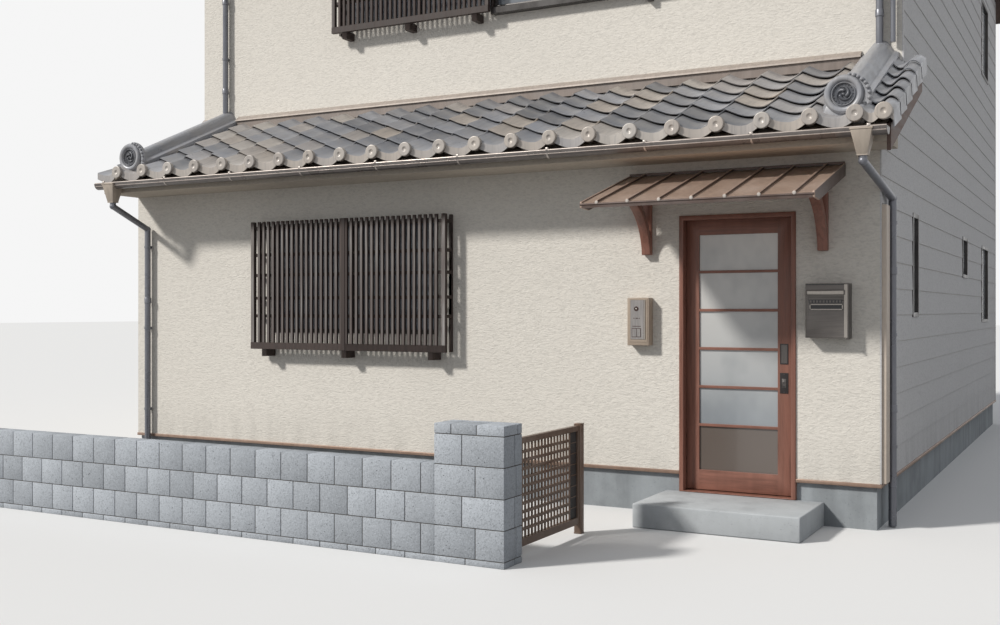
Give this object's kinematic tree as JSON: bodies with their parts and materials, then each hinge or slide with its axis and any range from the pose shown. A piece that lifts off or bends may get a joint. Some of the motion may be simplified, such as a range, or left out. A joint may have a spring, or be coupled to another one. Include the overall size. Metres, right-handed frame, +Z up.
{
  "type": "machiya townhouse",
  "caption": "Two-storey townhouse with tiled pent and main roofs, lattice windows, a canopied sliding door that runs into its wall, and a low block wall in front.",
  "frame": {"origin": "middle of the house's footprint, on the underside of its foundation at street level", "axes": "+X to the right along the street front, +Y from the street into the house, +Z up"},
  "size_m": [7.79, 12.184, 8.4435],
  "materials": {
    "concrete": "cast concrete, fine pores",
    "floor_boards": "planed boards",
    "plaster": "cream sprayed stucco",
    "siding": "pale lapped wall boards",
    "brown_metal": "brown, satin",
    "eaves_boards": "stained boards",
    "roof_tile": "smoked silver clay, satin",
    "roof_metal": "brown-grey sheet, satin",
    "gutter_metal": "grey-brown, satin",
    "pipe_metal": "grey, satin",
    "canopy_metal": "brown sheet, satin",
    "red_timber": "red-brown stain, satin",
    "frosted_glass": "frosted",
    "dark_fittings": "dark bronze, satin",
    "dark_timber": "dark brown stain, matt",
    "window_glass": "frosted",
    "beige_plastic": "beige, matt",
    "steel_sheet": "brushed",
    "block": "speckled concrete block",
    "fence_metal": "bronze, satin"
  },
  "bodies": {
    "house": {"foundation": "concrete", "ground_floor": "floor_boards", "upper_floor": "floor_boards", "front_wall_left": "plaster", "front_wall_right": "plaster", "door_lintel_wall": "plaster", "pocket_lining": "plaster", "inner_jamb": "red_timber", "upper_front_wall": "plaster", "left_party_wall": "siding", "right_side_wall": "siding", "back_wall": "siding", "drip_strip": "brown_metal", "pent_roof": "eaves_boards", "pent_tiles": "roof_tile", "pent_apron": "roof_metal", "pent_ridges": "roof_tile", "main_roof": "eaves_boards", "main_tiles": "roof_tile", "main_ridge": "roof_tile", "bargeboards": "eaves_boards", "pent_gutter": "gutter_metal", "main_gutters": "gutter_metal", "right_downspout": "pipe_metal", "left_downspout": "pipe_metal", "upper_downspouts": "pipe_metal", "canopy_roof": "canopy_metal", "canopy_brackets": "red_timber", "door_frame": "red_timber", "door_step": "concrete", "lower_lattice": "dark_timber", "upper_lattice": "dark_timber", "front_sashes": "dark_fittings", "side_sashes": "dark_fittings", "back_sashes": "dark_fittings", "window_glass": "window_glass", "intercom": "beige_plastic", "mailbox": "steel_sheet", "pipe_cover": "beige_plastic", "street_wall": "block", "fence_panel": "fence_metal"},
    "door": {"door_leaf": "red_timber", "door_panes": "frosted_glass", "door_plates": "dark_fittings"}
  },
  "joints": [
    {"name": "door_slide", "type": "slide", "parent": "house", "child": "door", "axis": [-1, 0, 0], "range_m": [0, 0.74]}
  ]
}
